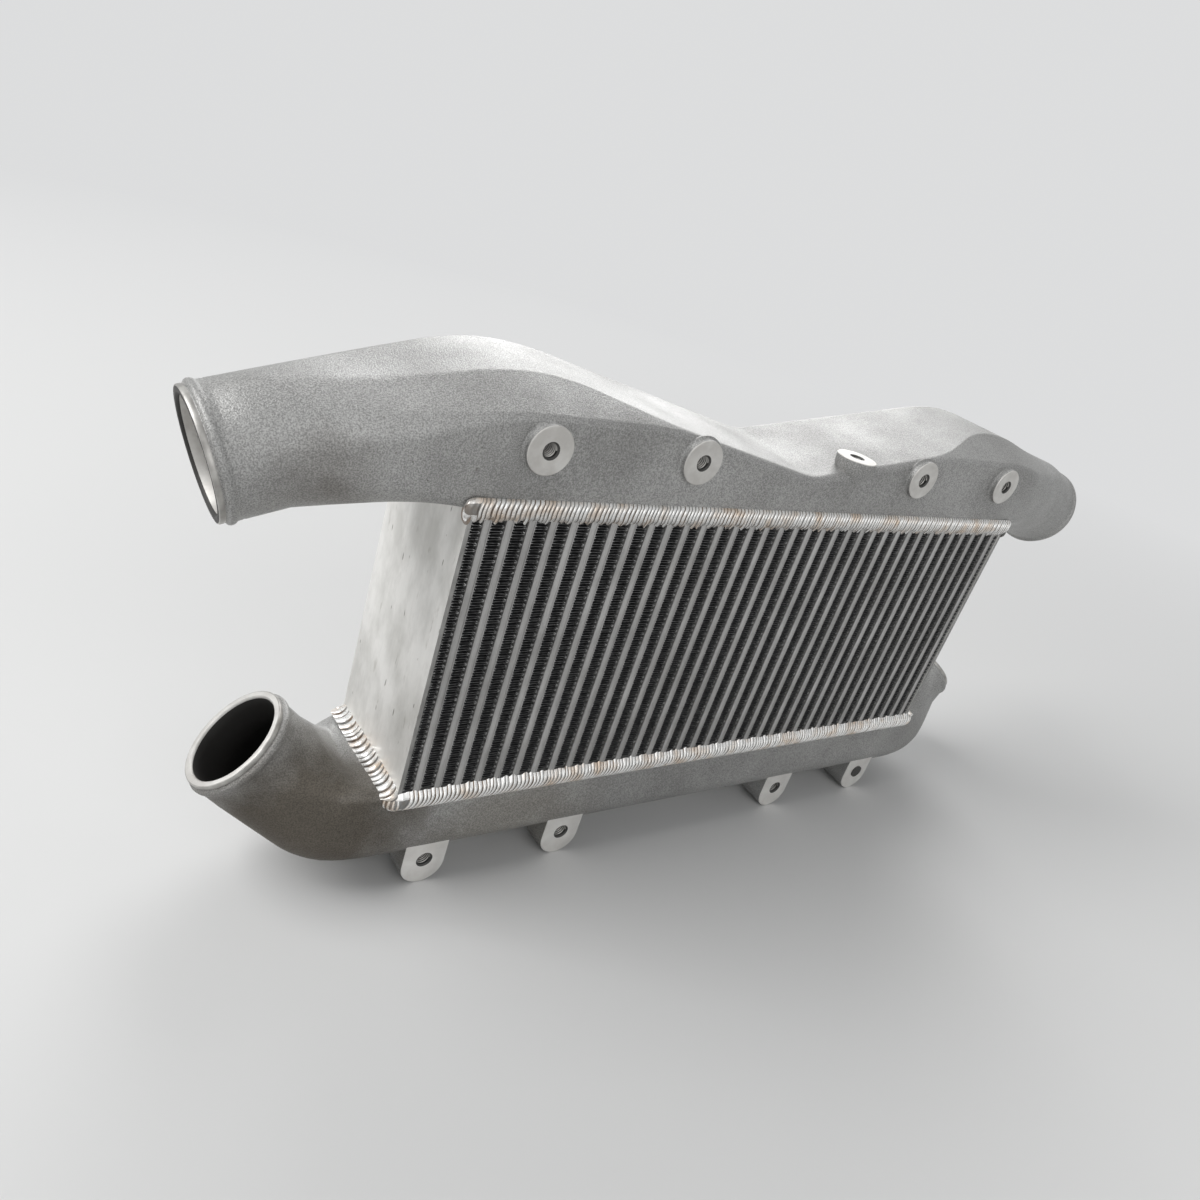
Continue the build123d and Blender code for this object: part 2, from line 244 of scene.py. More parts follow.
CORE_TOP = CORE_BOTTOM + CORE_HEIGHT
HALF_LENGTH = CORE_LENGTH / 2
HALF_DEPTH = CORE_DEPTH / 2
PASSAGE_WIDTH = FACE_BAR_WIDTH + 2 * SHEET
FACE_BEAD_LENGTH = CORE_LENGTH + 2 * FACE_WELD_OVERRUN
END_BEAD_LENGTH = CORE_DEPTH + 2 * END_WELD_OVERRUN


# Materials

def new_material(name, colour, metallic, roughness):
    material = bpy.data.materials.new(name)
    material.use_nodes = True
    shader = material.node_tree.nodes["Principled BSDF"]
    shader.inputs["Base Color"].default_value = (*colour, 1)
    shader.inputs["Metallic"].default_value = metallic
    shader.inputs["Roughness"].default_value = roughness
    return material, material.node_tree, shader


def pattern_place(tree, stretch=(1, 1, 1)):
    """Object coordinates, stretched along an axis where its factor is under one."""
    place = tree.nodes.new("ShaderNodeTexCoord")
    mapping = tree.nodes.new("ShaderNodeMapping")
    mapping.inputs["Scale"].default_value = stretch
    tree.links.new(place.outputs["Object"], mapping.inputs["Vector"])
    return mapping.outputs["Vector"]


def noise(tree, place, scale, detail=3.0, rough=0.5):
    texture = tree.nodes.new("ShaderNodeTexNoise")
    texture.inputs["Scale"].default_value = scale
    texture.inputs["Detail"].default_value = detail
    texture.inputs["Roughness"].default_value = rough
    tree.links.new(place, texture.inputs["Vector"])
    return texture.outputs["Fac"]


def ramp(tree, value, low, high, start, end):
    """A colour that goes from start to end as the value goes from low to high."""
    node = tree.nodes.new("ShaderNodeValToRGB")
    node.color_ramp.elements[0].position = low
    node.color_ramp.elements[0].color = (*start, 1)
    node.color_ramp.elements[1].position = high
    node.color_ramp.elements[1].color = (*end, 1)
    tree.links.new(value, node.inputs["Fac"])
    return node.outputs["Color"]


def multiply(tree, strength, colour, tint):
    """A colour multiplied by a tint, more or less strongly."""
    node = tree.nodes.new("ShaderNodeMix")
    node.data_type = "RGBA"
    node.blend_type = "MULTIPLY"
    node.inputs["Factor"].default_value = strength
    tree.links.new(colour, node.inputs[6])
    tree.links.new(tint, node.inputs[7])
    return node.outputs[2]


def map_value(tree, value, low, high, start, end):
    node = tree.nodes.new("ShaderNodeMapRange")
    for name, number in (("From Min", low), ("From Max", high), ("To Min", start), ("To Max", end)):
        node.inputs[name].default_value = number
    tree.links.new(value, node.inputs["Value"])
    return node.outputs["Result"]


def maths(tree, operation, first, second):
    node = tree.nodes.new("ShaderNodeMath")
    node.operation = operation
    tree.links.new(first, node.inputs[0])
    tree.links.new(second, node.inputs[1])
    return node.outputs[0]


def add_bump(tree, shader, heights):
    """Bumps laid one over another. Each is a height, its strength and its depth in metres."""
    under = None
    for height, strength, depth in heights:
        node = tree.nodes.new("ShaderNodeBump")
        node.inputs["Strength"].default_value = strength
        node.inputs["Distance"].default_value = depth
        tree.links.new(height, node.inputs["Height"])
        if under:
            tree.links.new(under, node.inputs["Normal"])
        under = node.outputs["Normal"]
    tree.links.new(under, shader.inputs["Normal"])


def soil_and_shade_patch(tree, place, ragged, centre, radius, tint):
    """A tint round a place on the object that fades out over a ragged edge."""
    away = tree.nodes.new("ShaderNodeVectorMath")
    away.operation = "DISTANCE"
    tree.links.new(place, away.inputs[0])
    away.inputs[1].default_value = centre
    edge = map_value(tree, ragged, 0.3, 0.7, -0.35 * radius, 0.35 * radius)
    distance = maths(tree, "ADD", away.outputs["Value"], edge)
    return ramp(tree, distance, 0.35 * radius, 1.15 * radius, tint, (1, 1, 1))


def cast_aluminium(name, patches):
    """Dull sand-cast metal with a fine grain, soft stains, small pits, and dark patches of soil, some with
    painted shade in them.
    """
    material, tree, shader = new_material(name, (0.36, 0.36, 0.35), 0.55, 0.5)
    place = pattern_place(tree)
    grain = noise(tree, place, 1300, 2, 0.5)
    stain = noise(tree, place, 14, 4, 0.55)
    pit = noise(tree, place, 300, 2)
    base = ramp(tree, stain, 0.35, 0.68, (0.3, 0.298, 0.29), (0.41, 0.408, 0.4))
    speck = ramp(tree, grain, 0.36, 0.64, (0.68, 0.68, 0.68), (1.22, 1.22, 1.22))
    colour = multiply(tree, 1.0, base, speck)
    dark = ramp(tree, pit, 0.24, 0.29, (0.5, 0.48, 0.45), (1, 1, 1))
    colour = multiply(tree, 0.8, colour, dark)
    # Each patch darkens the colour: soil, and on the neck and elbow painted shade as well
    for centre, radius, tint in patches:
        soil_and_shade = soil_and_shade_patch(tree, place, stain, centre, radius, tint)
        colour = multiply(tree, 1.0, colour, soil_and_shade)
    tree.links.new(colour, shader.inputs["Base Color"])
    tree.links.new(map_value(tree, stain, 0.3, 0.7, 0.56, 0.44), shader.inputs["Roughness"])
    add_bump(tree, shader, [(grain, 0.55, 0.0006), (pit, 0.2, 0.0008)])
    return material


def machined_aluminium(name, dull_and_shade, clean):
    """Flat cut faces, slightly dulled in patches."""
    material, tree, shader = new_material(name, clean, 0.6, 0.4)
    place = pattern_place(tree)
    fine = noise(tree, place, 700, 3)
    patch = noise(tree, place, 90, 3)
    tree.links.new(ramp(tree, patch, 0.35, 0.7, dull_and_shade, clean), shader.inputs["Base Color"])
    tree.links.new(map_value(tree, fine, 0.3, 0.7, 0.44, 0.58), shader.inputs["Roughness"])
    add_bump(tree, shader, [(fine, 0.15, 0.0003)])
    return material


def turned_aluminium():
    """The turned lips of the mouths, grey and patchy from handling."""
    material, tree, shader = new_material("turned_aluminium", (0.4, 0.39, 0.37), 0.7, 0.42)
    patch = noise(tree, pattern_place(tree), 120, 3)
    colour = ramp(tree, patch, 0.35, 0.68, (0.31, 0.3, 0.285), (0.5, 0.49, 0.465))
    tree.links.new(colour, shader.inputs["Base Color"])
    add_bump(tree, shader, [(patch, 0.15, 0.0004)])
    return material


def bore_aluminium():
    """The inside of a threaded hole, painted dark as shade."""
    return new_material("bore_aluminium", (0.07, 0.068, 0.065), 0.4, 0.5)[0]


def inner_aluminium():
    """The inside of a tank, painted near black as shade."""
    return new_material("inner_aluminium", (0.035, 0.033, 0.031), 0.3, 0.6)[0]


def plate_aluminium():
    """Rolled plate with faint streaks down it, light scuffs and a few dark specks."""
    material, tree, shader = new_material("plate_aluminium", (0.76, 0.75, 0.72), 0.35, 0.45)
    streak = noise(tree, pattern_place(tree, (5, 5, 0.6)), 40, 4, 0.6)
    cloud = noise(tree, pattern_place(tree, (1, 1, 0.6)), 42, 4, 0.6)
    place = pattern_place(tree, (1, 1, 0.3))
    scuff = noise(tree, place, 170, 3, 0.6)
    speck = noise(tree, place, 290, 1)
    base = ramp(tree, streak, 0.3, 0.72, (0.76, 0.75, 0.725), (0.82, 0.81, 0.785))
    soft = ramp(tree, cloud, 0.34, 0.58, (0.78, 0.78, 0.77), (1.0, 1.0, 1.0))
    colour = multiply(tree, 1.0, base, soft)
    marks = ramp(tree, scuff, 0.27, 0.36, (0.75, 0.74, 0.72), (1, 1, 1))
    colour = multiply(tree, 0.8, colour, marks)
    dark = ramp(tree, speck, 0.22, 0.26, (0.25, 0.23, 0.2), (1, 1, 1))
    colour = multiply(tree, 0.85, colour, dark)
    tree.links.new(colour, shader.inputs["Base Color"])
    tree.links.new(map_value(tree, cloud, 0.3, 0.7, 0.52, 0.38), shader.inputs["Roughness"])
    add_bump(tree, shader, [(scuff, 0.1, 0.0003), (speck, 0.1, 0.0002)])
    return material


def plate_edge_aluminium():
    """The edge faces of an end plate, coloured greyer than its faces."""
    material, tree, shader = new_material("plate_edge_aluminium", (0.3, 0.298, 0.29), 0.5, 0.5)
    patch = noise(tree, pattern_place(tree, (1, 1, 0.4)), 130, 3)
    colour = ramp(tree, patch, 0.35, 0.7, (0.22, 0.218, 0.21), (0.4, 0.398, 0.385))
    tree.links.new(colour, shader.inputs["Base Color"])
    return material


def bar_aluminium():
    """Sawn bar with fine lines along it."""
    material, tree, shader = new_material("bar_aluminium", (0.5, 0.495, 0.485), 0.5, 0.42)
    streak = noise(tree, pattern_place(tree, (1, 1, 0.12)), 420, 3)
    patch = noise(tree, pattern_place(tree), 30, 3)
    base = ramp(tree, patch, 0.35, 0.7, (0.4, 0.395, 0.385), (0.53, 0.525, 0.515))
    lines = ramp(tree, streak, 0.35, 0.6, (0.8, 0.8, 0.8), (1, 1, 1))
    tree.links.new(multiply(tree, 0.7, base, lines), shader.inputs["Base Color"])
    add_bump(tree, shader, [(streak, 0.2, 0.0003)])
    return material


def fin_aluminium():
    """Thin fins, coloured near black."""
    material, tree, shader = new_material("fin_aluminium", (0.05, 0.05, 0.052), 0.4, 0.5)
    patch = noise(tree, pattern_place(tree), 260, 3)
    colour = ramp(tree, patch, 0.35, 0.7, (0.03, 0.03, 0.032), (0.09, 0.091, 0.095))
    tree.links.new(colour, shader.inputs["Base Color"])
    add_bump(tree, shader, [(patch, 0.2, 0.0003)])
    return material


def fin_edge_aluminium():
    """The cut edges of the fins at the two faces, grey where they catch the light."""
    material, tree, shader = new_material("fin_edge_aluminium", (0.3, 0.3, 0.3), 0.5, 0.4)
    patch = noise(tree, pattern_place(tree), 330, 2)
    colour = ramp(tree, patch, 0.38, 0.66, (0.05, 0.05, 0.051), (0.24, 0.24, 0.238))
    tree.links.new(colour, shader.inputs["Base Color"])
    return material


def fin_fold_aluminium():
    """The folds of the fins, with painted highlights at the two faces of the core and painted shade behind
    them.
    """
    material, tree, shader = new_material("fin_fold_aluminium", (0.5, 0.5, 0.5), 0.6, 0.35)
    place = pattern_place(tree)
    fold_glint = ramp(tree, noise(tree, place, 500, 2), 0.36, 0.6, (0.22, 0.22, 0.22), (0.88, 0.88, 0.87))
    outward = tree.nodes.new("ShaderNodeVectorMath")
    outward.operation = "ABSOLUTE"
    tree.links.new(place, outward.inputs[0])
    axes = tree.nodes.new("ShaderNodeSeparateXYZ")
    tree.links.new(outward.outputs[0], axes.inputs[0])
    fold_shade = ramp(tree, axes.outputs["Y"], 0.0425, 0.0452, (0.1, 0.1, 0.1), (1, 1, 1))
    tree.links.new(multiply(tree, 1.0, fold_glint, fold_shade), shader.inputs["Base Color"])
    return material


def weld_aluminium():
    """Bright weld metal with a straw tint in places."""
    material, tree, shader = new_material("weld_aluminium", (0.83, 0.825, 0.81), 0.7, 0.3)
    place = pattern_place(tree)
    tint = noise(tree, place, 75, 3)
    fine = noise(tree, place, 900, 3)
    colour = ramp(tree, tint, 0.48, 0.68, (0.83, 0.825, 0.81), (0.66, 0.55, 0.45))
    tree.links.new(colour, shader.inputs["Base Color"])
    tree.links.new(map_value(tree, fine, 0.3, 0.7, 0.24, 0.42), shader.inputs["Roughness"])
    add_bump(tree, shader, [(fine, 0.25, 0.0003)])
    return material


def weld_valley_shade():
    """Painted shade between a bead's ripples and in its craters: dark grey, brownish in places."""
    material, tree, shader = new_material("weld_valley_shade", (0.26, 0.255, 0.25), 0.7, 0.4)
    tint = noise(tree, pattern_place(tree), 90, 3)
    colour = ramp(tree, tint, 0.42, 0.62, (0.28, 0.278, 0.27), (0.22, 0.17, 0.13))
    tree.links.new(colour, shader.inputs["Base Color"])
    return material


# Dark patches, in metres: low on the upper left neck, a smudge with painted shade over the neck's underside;
# on the lower left elbow, a brown stain with painted shade over it; and soil on the trough beside it
UPPER_CAST = cast_aluminium("upper_cast_aluminium", [((-0.318, -0.036, 0.272), 0.034, (0.6, 0.58, 0.56))])
LOWER_CAST = cast_aluminium("lower_cast_aluminium", [((-0.29, -0.045, 0.042), 0.076, (0.34, 0.3, 0.25)),
                                                     ((-0.16, -0.046, 0.035), 0.07, (0.9, 0.87, 0.82))])
PAD_FACE = machined_aluminium("pad_face_aluminium", (0.53, 0.515, 0.49), (0.66, 0.65, 0.625))
# The lug faces: the machined finish painted far brighter than the pads', as painted light for the light they
# lack low at the front
LUG_FACE_PAINTED_LIGHT = machined_aluminium("lug_face_painted_light", (0.82, 0.8, 0.77), (0.92, 0.91, 0.88))
TURNED = turned_aluminium()
BORE = bore_aluminium()
INSIDE = inner_aluminium()
PLATE = plate_aluminium()
PLATE_EDGE = plate_edge_aluminium()
BAR = bar_aluminium()
FIN = fin_aluminium()
EDGE = fin_edge_aluminium()
FOLD = fin_fold_aluminium()
WELD = weld_aluminium()
VALLEY = weld_valley_shade()


# Making pieces

def make_object(name, bm, materials, smooth_angle=SMOOTH_ANGLE):
    """A mesh object from a bmesh drawn in millimetres."""
    bmesh.ops.scale(bm, vec=(MM, MM, MM), verts=bm.verts)
    mesh = bpy.data.meshes.new(name)
    bm.to_mesh(mesh)
    bm.free()
    for material in materials:
        mesh.materials.append(material)
    mesh.shade_smooth()
    mesh.set_sharp_from_angle(angle=radians(smooth_angle))
    obj = bpy.data.objects.new(name, mesh)
    bpy.context.scene.collection.objects.link(obj)
    return obj


def mount(obj, slot, *nodes):
    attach(obj, "root")
    if nodes:
        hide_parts(*nodes)


def combine(obj, other, operation):
    """Joins another closed mesh to a piece, or cuts it away, and drops the other one."""
    change = obj.modifiers.new("change", "BOOLEAN")
    change.operation = operation
    change.solver = "EXACT"
    change.material_mode = "TRANSFER"
    change.object = other
    bpy.context.view_layer.update()
    changed = bpy.data.meshes.new_from_object(obj.evaluated_get(bpy.context.evaluated_depsgraph_get()))
    obj.modifiers.clear()
    changed.set_sharp_from_angle(angle=radians(SMOOTH_ANGLE))
    old = obj.data
    obj.data = changed
    changed.name = obj.name
    bpy.data.meshes.remove(old)
    bpy.data.objects.remove(other)


def gather(name, shapes, materials):
    """One object from several bmeshes, each moved to its place."""
    whole = bmesh.new()
    for bm, place in shapes:
        bmesh.ops.transform(bm, matrix=place, verts=bm.verts)
        mesh = bpy.data.meshes.new("part_of_" + name)
        bm.to_mesh(mesh)
        bm.free()
        whole.from_mesh(mesh)
        bpy.data.meshes.remove(mesh)
    return make_object(name, whole, materials)


def block(bm, x0, x1, y0, y1, z0, z1):
    verts = bmesh.ops.create_cube(bm, size=1)["verts"]
    bmesh.ops.scale(bm, vec=(x1 - x0, y1 - y0, z1 - z0), verts=verts)
    bmesh.ops.translate(bm, vec=((x0 + x1) / 2, (y0 + y1) / 2, (z0 + z1) / 2), verts=verts)


def bevel_edges(bm, edges, width, segments):
    bmesh.ops.bevel(bm, geom=edges, offset=width, segments=segments, profile=0.5, affect="EDGES", material=-1)


def edge_reach(edge, axis):
    """How far an edge goes along X, Y or Z, which are 0, 1 and 2."""
    first, last = edge.verts
    return abs(first.co[axis] - last.co[axis])


def new_verts(grown):
    return [item for item in grown["geom"] if isinstance(item, bmesh.types.BMVert)]


def lathe(bm, profile, steps=48):
    """A profile of (radius, height) points turned round Z. It starts and ends on the axis."""
    verts = [bm.verts.new((radius, 0, height)) for radius, height in profile]
    edges = [bm.edges.new(pair) for pair in zip(verts, verts[1:])]
    bmesh.ops.spin(bm, geom=verts + edges, cent=(0, 0, 0), axis=(0, 0, 1), dvec=(0, 0, 0),
                   angle=2 * pi, steps=steps, use_merge=True)
    bmesh.ops.remove_doubles(bm, verts=bm.verts, dist=AXIS_MERGE)
    bmesh.ops.recalc_face_normals(bm, faces=bm.faces)


def loft(bm, rings):
    """A tube through rings of points. Each ring is extruded from the one before it.

    A point keeps its place in its ring as its order, and its ring's place as its level.
    """
    order = bm.verts.layers.int.new("order")
    level = bm.verts.layers.int.new("level")
    verts = bmesh.ops.create_circle(bm, segments=len(rings[0]), radius=1)["verts"]
    for index, vert in enumerate(verts):
        vert[order] = index
        vert.co = rings[0][index]
    edges = list(bm.edges)
    for height, ring in enumerate(rings[1:], start=1):
        grown = bmesh.ops.extrude_edge_only(bm, edges=edges)
        edges = [item for item in grown["geom"] if isinstance(item, bmesh.types.BMEdge)]
        for vert in new_verts(grown):
            vert.co = ring[vert[order]]
            vert[level] = height


# Tank sections, as rings of points

def meeting(first, second, inset):
    """Where two sides meet once both have moved in. A side is its outward angle and distance."""
    a, b = radians(first[0]), radians(second[0])
    p, q = first[1] - inset, second[1] - inset
    turn = sin(b - a)
    return np.array([(p * sin(b) - q * sin(a)) / turn, (q * cos(a) - p * cos(b)) / turn])


def outline(sides, corner, gap=0.0):
    """Points round a section, corner by corner, as the solids have them but finer."""
    points = []
    for index, side in enumerate(sides):
        last = sides[index - 1]
        turn = (side[0] - last[0]) % 360
        centre, radius = corner(index, last, side)
        chords = ceil(turn / CHORD_ANGLE)
        for step in range(chords + 1):
            angle = radians(last[0] + gap + (turn - 2 * gap) * step / chords)
            points.append(centre + radius * np.array([cos(angle), sin(angle)]))
    return np.array(points)


def boxy_outline(sides, radii):
    return outline(sides, lambda index, last, side: (meeting(last, side, radii[index]), radii[index]))


def round_outline(sides, radius, height):
    return outline(sides, lambda index, last, side: (np.array([0, height]), radius), FLAT_ANGLE)


def place_points(points, x, z, angle=0.0, swing=0.0, shift=0.0, run=0.0):
    """Puts a section's points in the plane across a tank at a station."""
    a, s = radians(angle), radians(swing)
    along = np.array([cos(a) * cos(s), sin(s), sin(a) * cos(s)])
    across = np.array([-cos(a) * sin(s), cos(s), -sin(a) * sin(s)])
    up = np.cross(along, across)
    origin = np.array([x, shift, z]) + along * run
    return origin + points[:, :1] * across + points[:, 1:] * up


def facet_distance(wall, height):
    """How far the front facet lies from a section's middle, below a roof of this height."""
    tilt = radians(FACET_TILT)
    return HALF_DEPTH * sin(tilt) + (height - SHOULDER_DROP) * cos(tilt) - wall


def upper_sides(wall, height):
    """The upper tank's sides. Its front facet shrinks to nothing where the roof is low."""
    side = HALF_DEPTH - wall
    tilt = radians(FACET_TILT)
    edge = max(FRONT_EDGE_RADIUS - wall, SEAT_EDGE_RADIUS)
    touching = (height - wall - edge) * cos(tilt) + (side - edge) * sin(tilt) + edge
    facet = min(facet_distance(wall, CREST_HEIGHT), touching)
    return [(-90, -wall), (0, side), (90, height - wall), (90 + FACET_TILT, facet), (180, side)]


def upper_box(wall, height, lowered_facet=False):
    """The upper tank's boxy section. Its facet stays where the crest has it unless it is lowered too."""
    seat = SEAT_EDGE_RADIUS
    front = max(FRONT_EDGE_RADIUS - wall, SEAT_EDGE_RADIUS)
    sides = upper_sides(wall, height)
    if lowered_facet:
        sides[3] = (sides[3][0], facet_distance(wall, height))
    return boxy_outline(sides, [seat, seat, REAR_EDGE_RADIUS - wall, front, front])


def lower_sides(wall, depth):
    side = HALF_DEPTH - wall
    return [(-90, depth - wall), (0, side), (90, -wall), (180, side)]


def lower_box(wall, depth, shoulder=LAND_EDGE_RADIUS):
    """The lower tank's sides and edges. The shoulder is the rear top edge, rounder on the elbow."""
    edge = TROUGH_EDGE_RADIUS - wall
    land, rear = (max(radius - wall, SEAT_EDGE_RADIUS) for radius in (LAND_EDGE_RADIUS, shoulder))
    return boxy_outline(lower_sides(wall, depth), [edge, edge, rear, land])


def between(stops, distance):
    """The ring at a distance along a list of (distance, ring) stops."""
    for (near, first), (far, second) in zip(stops, stops[1:]):
        if distance <= far:
            share = (distance - near) / (far - near)
            return first + (second - first) * share
    return stops[-1][1]


def upper_ring(wall, stops, distance):
    """The upper tank's section at a distance from its middle, before its creases are softened."""
    if distance < 0:
        return upper_ring(wall, stops, -distance) * (-1, 1, 1)
    if distance <= UPPER_BEND_START:
        height = min(VALLEY_HEIGHT + distance * tan(radians(RISE_ANGLE)), CREST_HEIGHT)
        return place_points(upper_box(wall, height), distance, CORE_TOP)
    return between(stops, distance)


def upper_stops(wall):
    """Rings from the start of the upper bend to the round neck."""
    crest = upper_box(wall, CREST_HEIGHT)
    box = upper_box(wall, UPPER_NECK_BOX, lowered_facet=True)
    ring = round_outline(upper_sides(wall, CREST_HEIGHT), UPPER_NECK_RADIUS - wall, UPPER_NECK_RADIUS)
    stops = [(UPPER_BEND_START, place_points(crest, UPPER_BEND_START, CORE_TOP))]
    for gone, roundness in UPPER_SECTIONS:
        points = box + (ring - box) * roundness
        placed = place_points(points, UPPER_BEND_END, CORE_TOP, UPPER_NECK_ANGLE, run=UPPER_NECK_RUN * gone)
        stops.append((UPPER_BEND_START + UPPER_BEND_RUN + UPPER_NECK_RUN * gone, placed))
    return stops


def lower_ring(wall, stops, distance):
    """The lower tank's section at a distance from its middle, before its creases are softened."""
    if distance < 0:
        return lower_ring(wall, stops, -distance) * (-1, 1, 1)
    if distance <= LOWER_BEND_START:
        return place_points(lower_box(wall, TROUGH_DEPTH), distance, CORE_BOTTOM)
    return between(stops, distance)


def lower_stops(wall):
    """Rings from the start of the lower bend to the round neck."""
    trough = lower_box(wall, TROUGH_DEPTH)
    ring = round_outline(lower_sides(wall, ELBOW_DEPTH), LOWER_NECK_RADIUS - wall, -LOWER_NECK_RADIUS)
    stops = [(LOWER_BEND_START, place_points(trough, LOWER_BEND_START, CORE_BOTTOM))]
    reach = LOWER_BEND_END - LOWER_BEND_START
    for turned, gone, roundness, depth, shoulder in LOWER_SECTIONS:
        box = lower_box(wall, depth, shoulder)
        points = box + (ring - box) * roundness
        travel = reach * turned * (2 - turned)
        placed = place_points(points, LOWER_BEND_START + travel, CORE_BOTTOM, LOWER_NECK_ANGLE * turned,
                              LOWER_NECK_SWING * turned, LOWER_NECK_SHIFT * turned, LOWER_NECK_RUN * gone)
        distance = LOWER_BEND_START + reach * turned * LOWER_BEND_STRETCH + LOWER_NECK_RUN * gone
        stops.append((distance, placed))
    return stops


def soft_rings(ring_at, wall, stops, softness):
    """Rings every few millimetres from the middle to the neck, with creases rounded by averaging."""
    end = stops[-1][0]
    count = ceil(end / RING_STEP)
    rings = []
    for index in range(count + 1):
        distance = end * index / count
        reach = min(softness, MIDDLE_SOFTNESS + distance / SOFTNESS_SPREAD, end - distance)
        offsets = np.linspace(-1, 1, CREASE_SAMPLES)
        spread = [ring_at(wall, stops, distance + reach * offset) for offset in offsets]
        rings.append(np.mean(spread, axis=0))
    return rings


def mouth_rings(last_ring, along, centre, radius, length):
    """Rings down a neck's outside, over its bead and lip, and back down its bore."""
    outward = last_ring - centre
    outward = outward / np.linalg.norm(outward, axis=1)[:, None]
    outside = [(NECK_START, 0.0)] + [(length - back, step) for back, step in MOUTH_OUTSIDE]
    bore = [(length - back, step) for back, step in MOUTH_BORE] + [(BORE_START, 0.0)]
    rings = []
    for wall, profile in ((radius, outside), (radius - WALL, bore)):
        rings += [centre + along * gone + outward * (wall + step) for gone, step in profile]
    return rings


def tank_skin(name, ring_at, make_stops, softness, station, radius, length, rise, materials):
    """A tank's shell: half of it is drawn from the middle, out over the mouth and back, then mirrored.

    The station is where the round neck starts, and rise is how high its centre lies there. The
    materials are those of the casting, the lip, the mouth's end face and the bore.
    """
    outer = soft_rings(ring_at, 0.0, make_stops(0.0), softness)
    inner = soft_rings(ring_at, WALL, make_stops(WALL), softness)
    *turn, run = station
    middle = np.array([[0.0, rise]])
    centre = place_points(middle, *turn, run)[0]
    along = place_points(middle, *turn, run + 1)[0] - centre
    mouth = mouth_rings(outer[-1], along, centre, radius, length)
    bm = bmesh.new()
    loft(bm, outer + mouth + inner[::-1])
    bmesh.ops.mirror(bm, geom=bm.verts[:] + bm.edges[:] + bm.faces[:], matrix=Matrix.Identity(4),
                     merge_dist=SEAM_MERGE, axis="X")
    bmesh.ops.remove_doubles(bm, verts=bm.verts, dist=SEAM_MERGE)
    bmesh.ops.recalc_face_normals(bm, faces=bm.faces)
    level = bm.verts.layers.int["level"]
    mouth_end = len(outer) + len(mouth)
    for face in bm.faces:
        to_end = mouth_end - min(vert[level] for vert in face.verts)
        face.material_index = sum(to_end <= rings for rings in (LIP_RINGS, RIM_RINGS, BORE_RINGS))
    return make_object(name, bm, materials, 40)


# Bosses and lugs

def boss_places():
    """Places of the four threaded pads on the front face and the one on top."""
    forward = Matrix.Rotation(pi / 2, 4, "X")
    for x in (-BOSS_OUTER, -BOSS_INNER, BOSS_INNER, BOSS_OUTER):
        yield Matrix.Translation((x, -HALF_DEPTH - BOSS_STAND, CORE_TOP + BOSS_RISE)) @ forward
    yield Matrix.Translation((TOP_BOSS_X, TOP_BOSS_INSET - HALF_DEPTH, CORE_TOP + TOP_BOSS_RISE))


def finish_front(bm, edge_break):
    """Gives a machined finish to the face at the origin and its broken edge."""
    for face in bm.faces:
        if face.calc_center_median().z > -edge_break - 0.1:
            face.material_index = 1


def boss_pad(fillet):
    """A pad with its face at the origin and a small edge break, narrower inside the tank.

    On a flat wall it has a fillet at its foot.
    """
    bm = bmesh.new()
    profile = [(0, 0), (BOSS_CORE_RADIUS, 0), (BOSS_RADIUS - BOSS_EDGE_BREAK, 0),
               (BOSS_RADIUS, -BOSS_EDGE_BREAK)]
    if fillet:
        foot = BOSS_RADIUS + fillet
        for turned in (0, 30, 60, 90):
            angle = radians(turned)
            profile.append((foot - fillet * cos(angle), fillet * (1 - sin(angle)) - BOSS_STAND))
        profile += [(foot, -BOSS_STAND - 1), (BOSS_RADIUS, -BOSS_STAND - 1.5)]
    profile += [(BOSS_RADIUS - BOSS_TAPER_STEP, -BOSS_TAPER_START), (BOSS_CORE_RADIUS, -BOSS_TAPER_END),
                (BOSS_CORE_RADIUS, -BOSS_DEPTH), (0, -BOSS_DEPTH)]
    lathe(bm, profile)
    finish_front(bm, BOSS_EDGE_BREAK)
    return bm


def hole_cutter(radius, depth):
    """What is cut away for a threaded hole: a countersunk bore that ends in a drill point."""
    bm = bmesh.new()
    sink = radius + COUNTERSINK
    profile = [(0, CUT_MARGIN), (sink, CUT_MARGIN), (sink, 0), (radius, -COUNTERSINK), (radius, -depth),
               (0, -depth - radius * DRILL_POINT_SHARE)]
    lathe(bm, profile, 40)
    return bm


def thread_coil(radius):
    """A screw thread's ridge inside a hole, wound down from the mouth."""
    bm = bmesh.new()
    rise = THREAD_PITCH * THREAD_RISE_SHARE
    root = radius + THREAD_ROOT
    corners = ((root, 0, -rise), (radius - THREAD_RIDGE, 0, 0), (root, 0, rise))
    verts = [bm.verts.new(corner) for corner in corners]
    edges = [bm.edges.new((verts[index - 1], verts[index])) for index in range(3)]
    bmesh.ops.spin(bm, geom=verts + edges, cent=(0, 0, 0), axis=(0, 0, 1),
                   dvec=(0, 0, -THREAD_PITCH / THREAD_STEPS), angle=2 * pi * THREAD_TURNS,
                   steps=THREAD_STEPS * THREAD_TURNS, use_merge=False)
    ends = [edge for edge in bm.edges if edge.is_boundary]
    bmesh.ops.holes_fill(bm, edges=ends, sides=3)
    bmesh.ops.recalc_face_normals(bm, faces=bm.faces)
    return bm


def thread_coils(name, places, radius):
    """The threads of a tank's holes, as a piece of its own."""
    start = Matrix.Translation((0, 0, -THREAD_START))
    coils = [(thread_coil(radius), place @ start) for place in places]
    mount(gather(name, coils, [TURNED]), "casting")


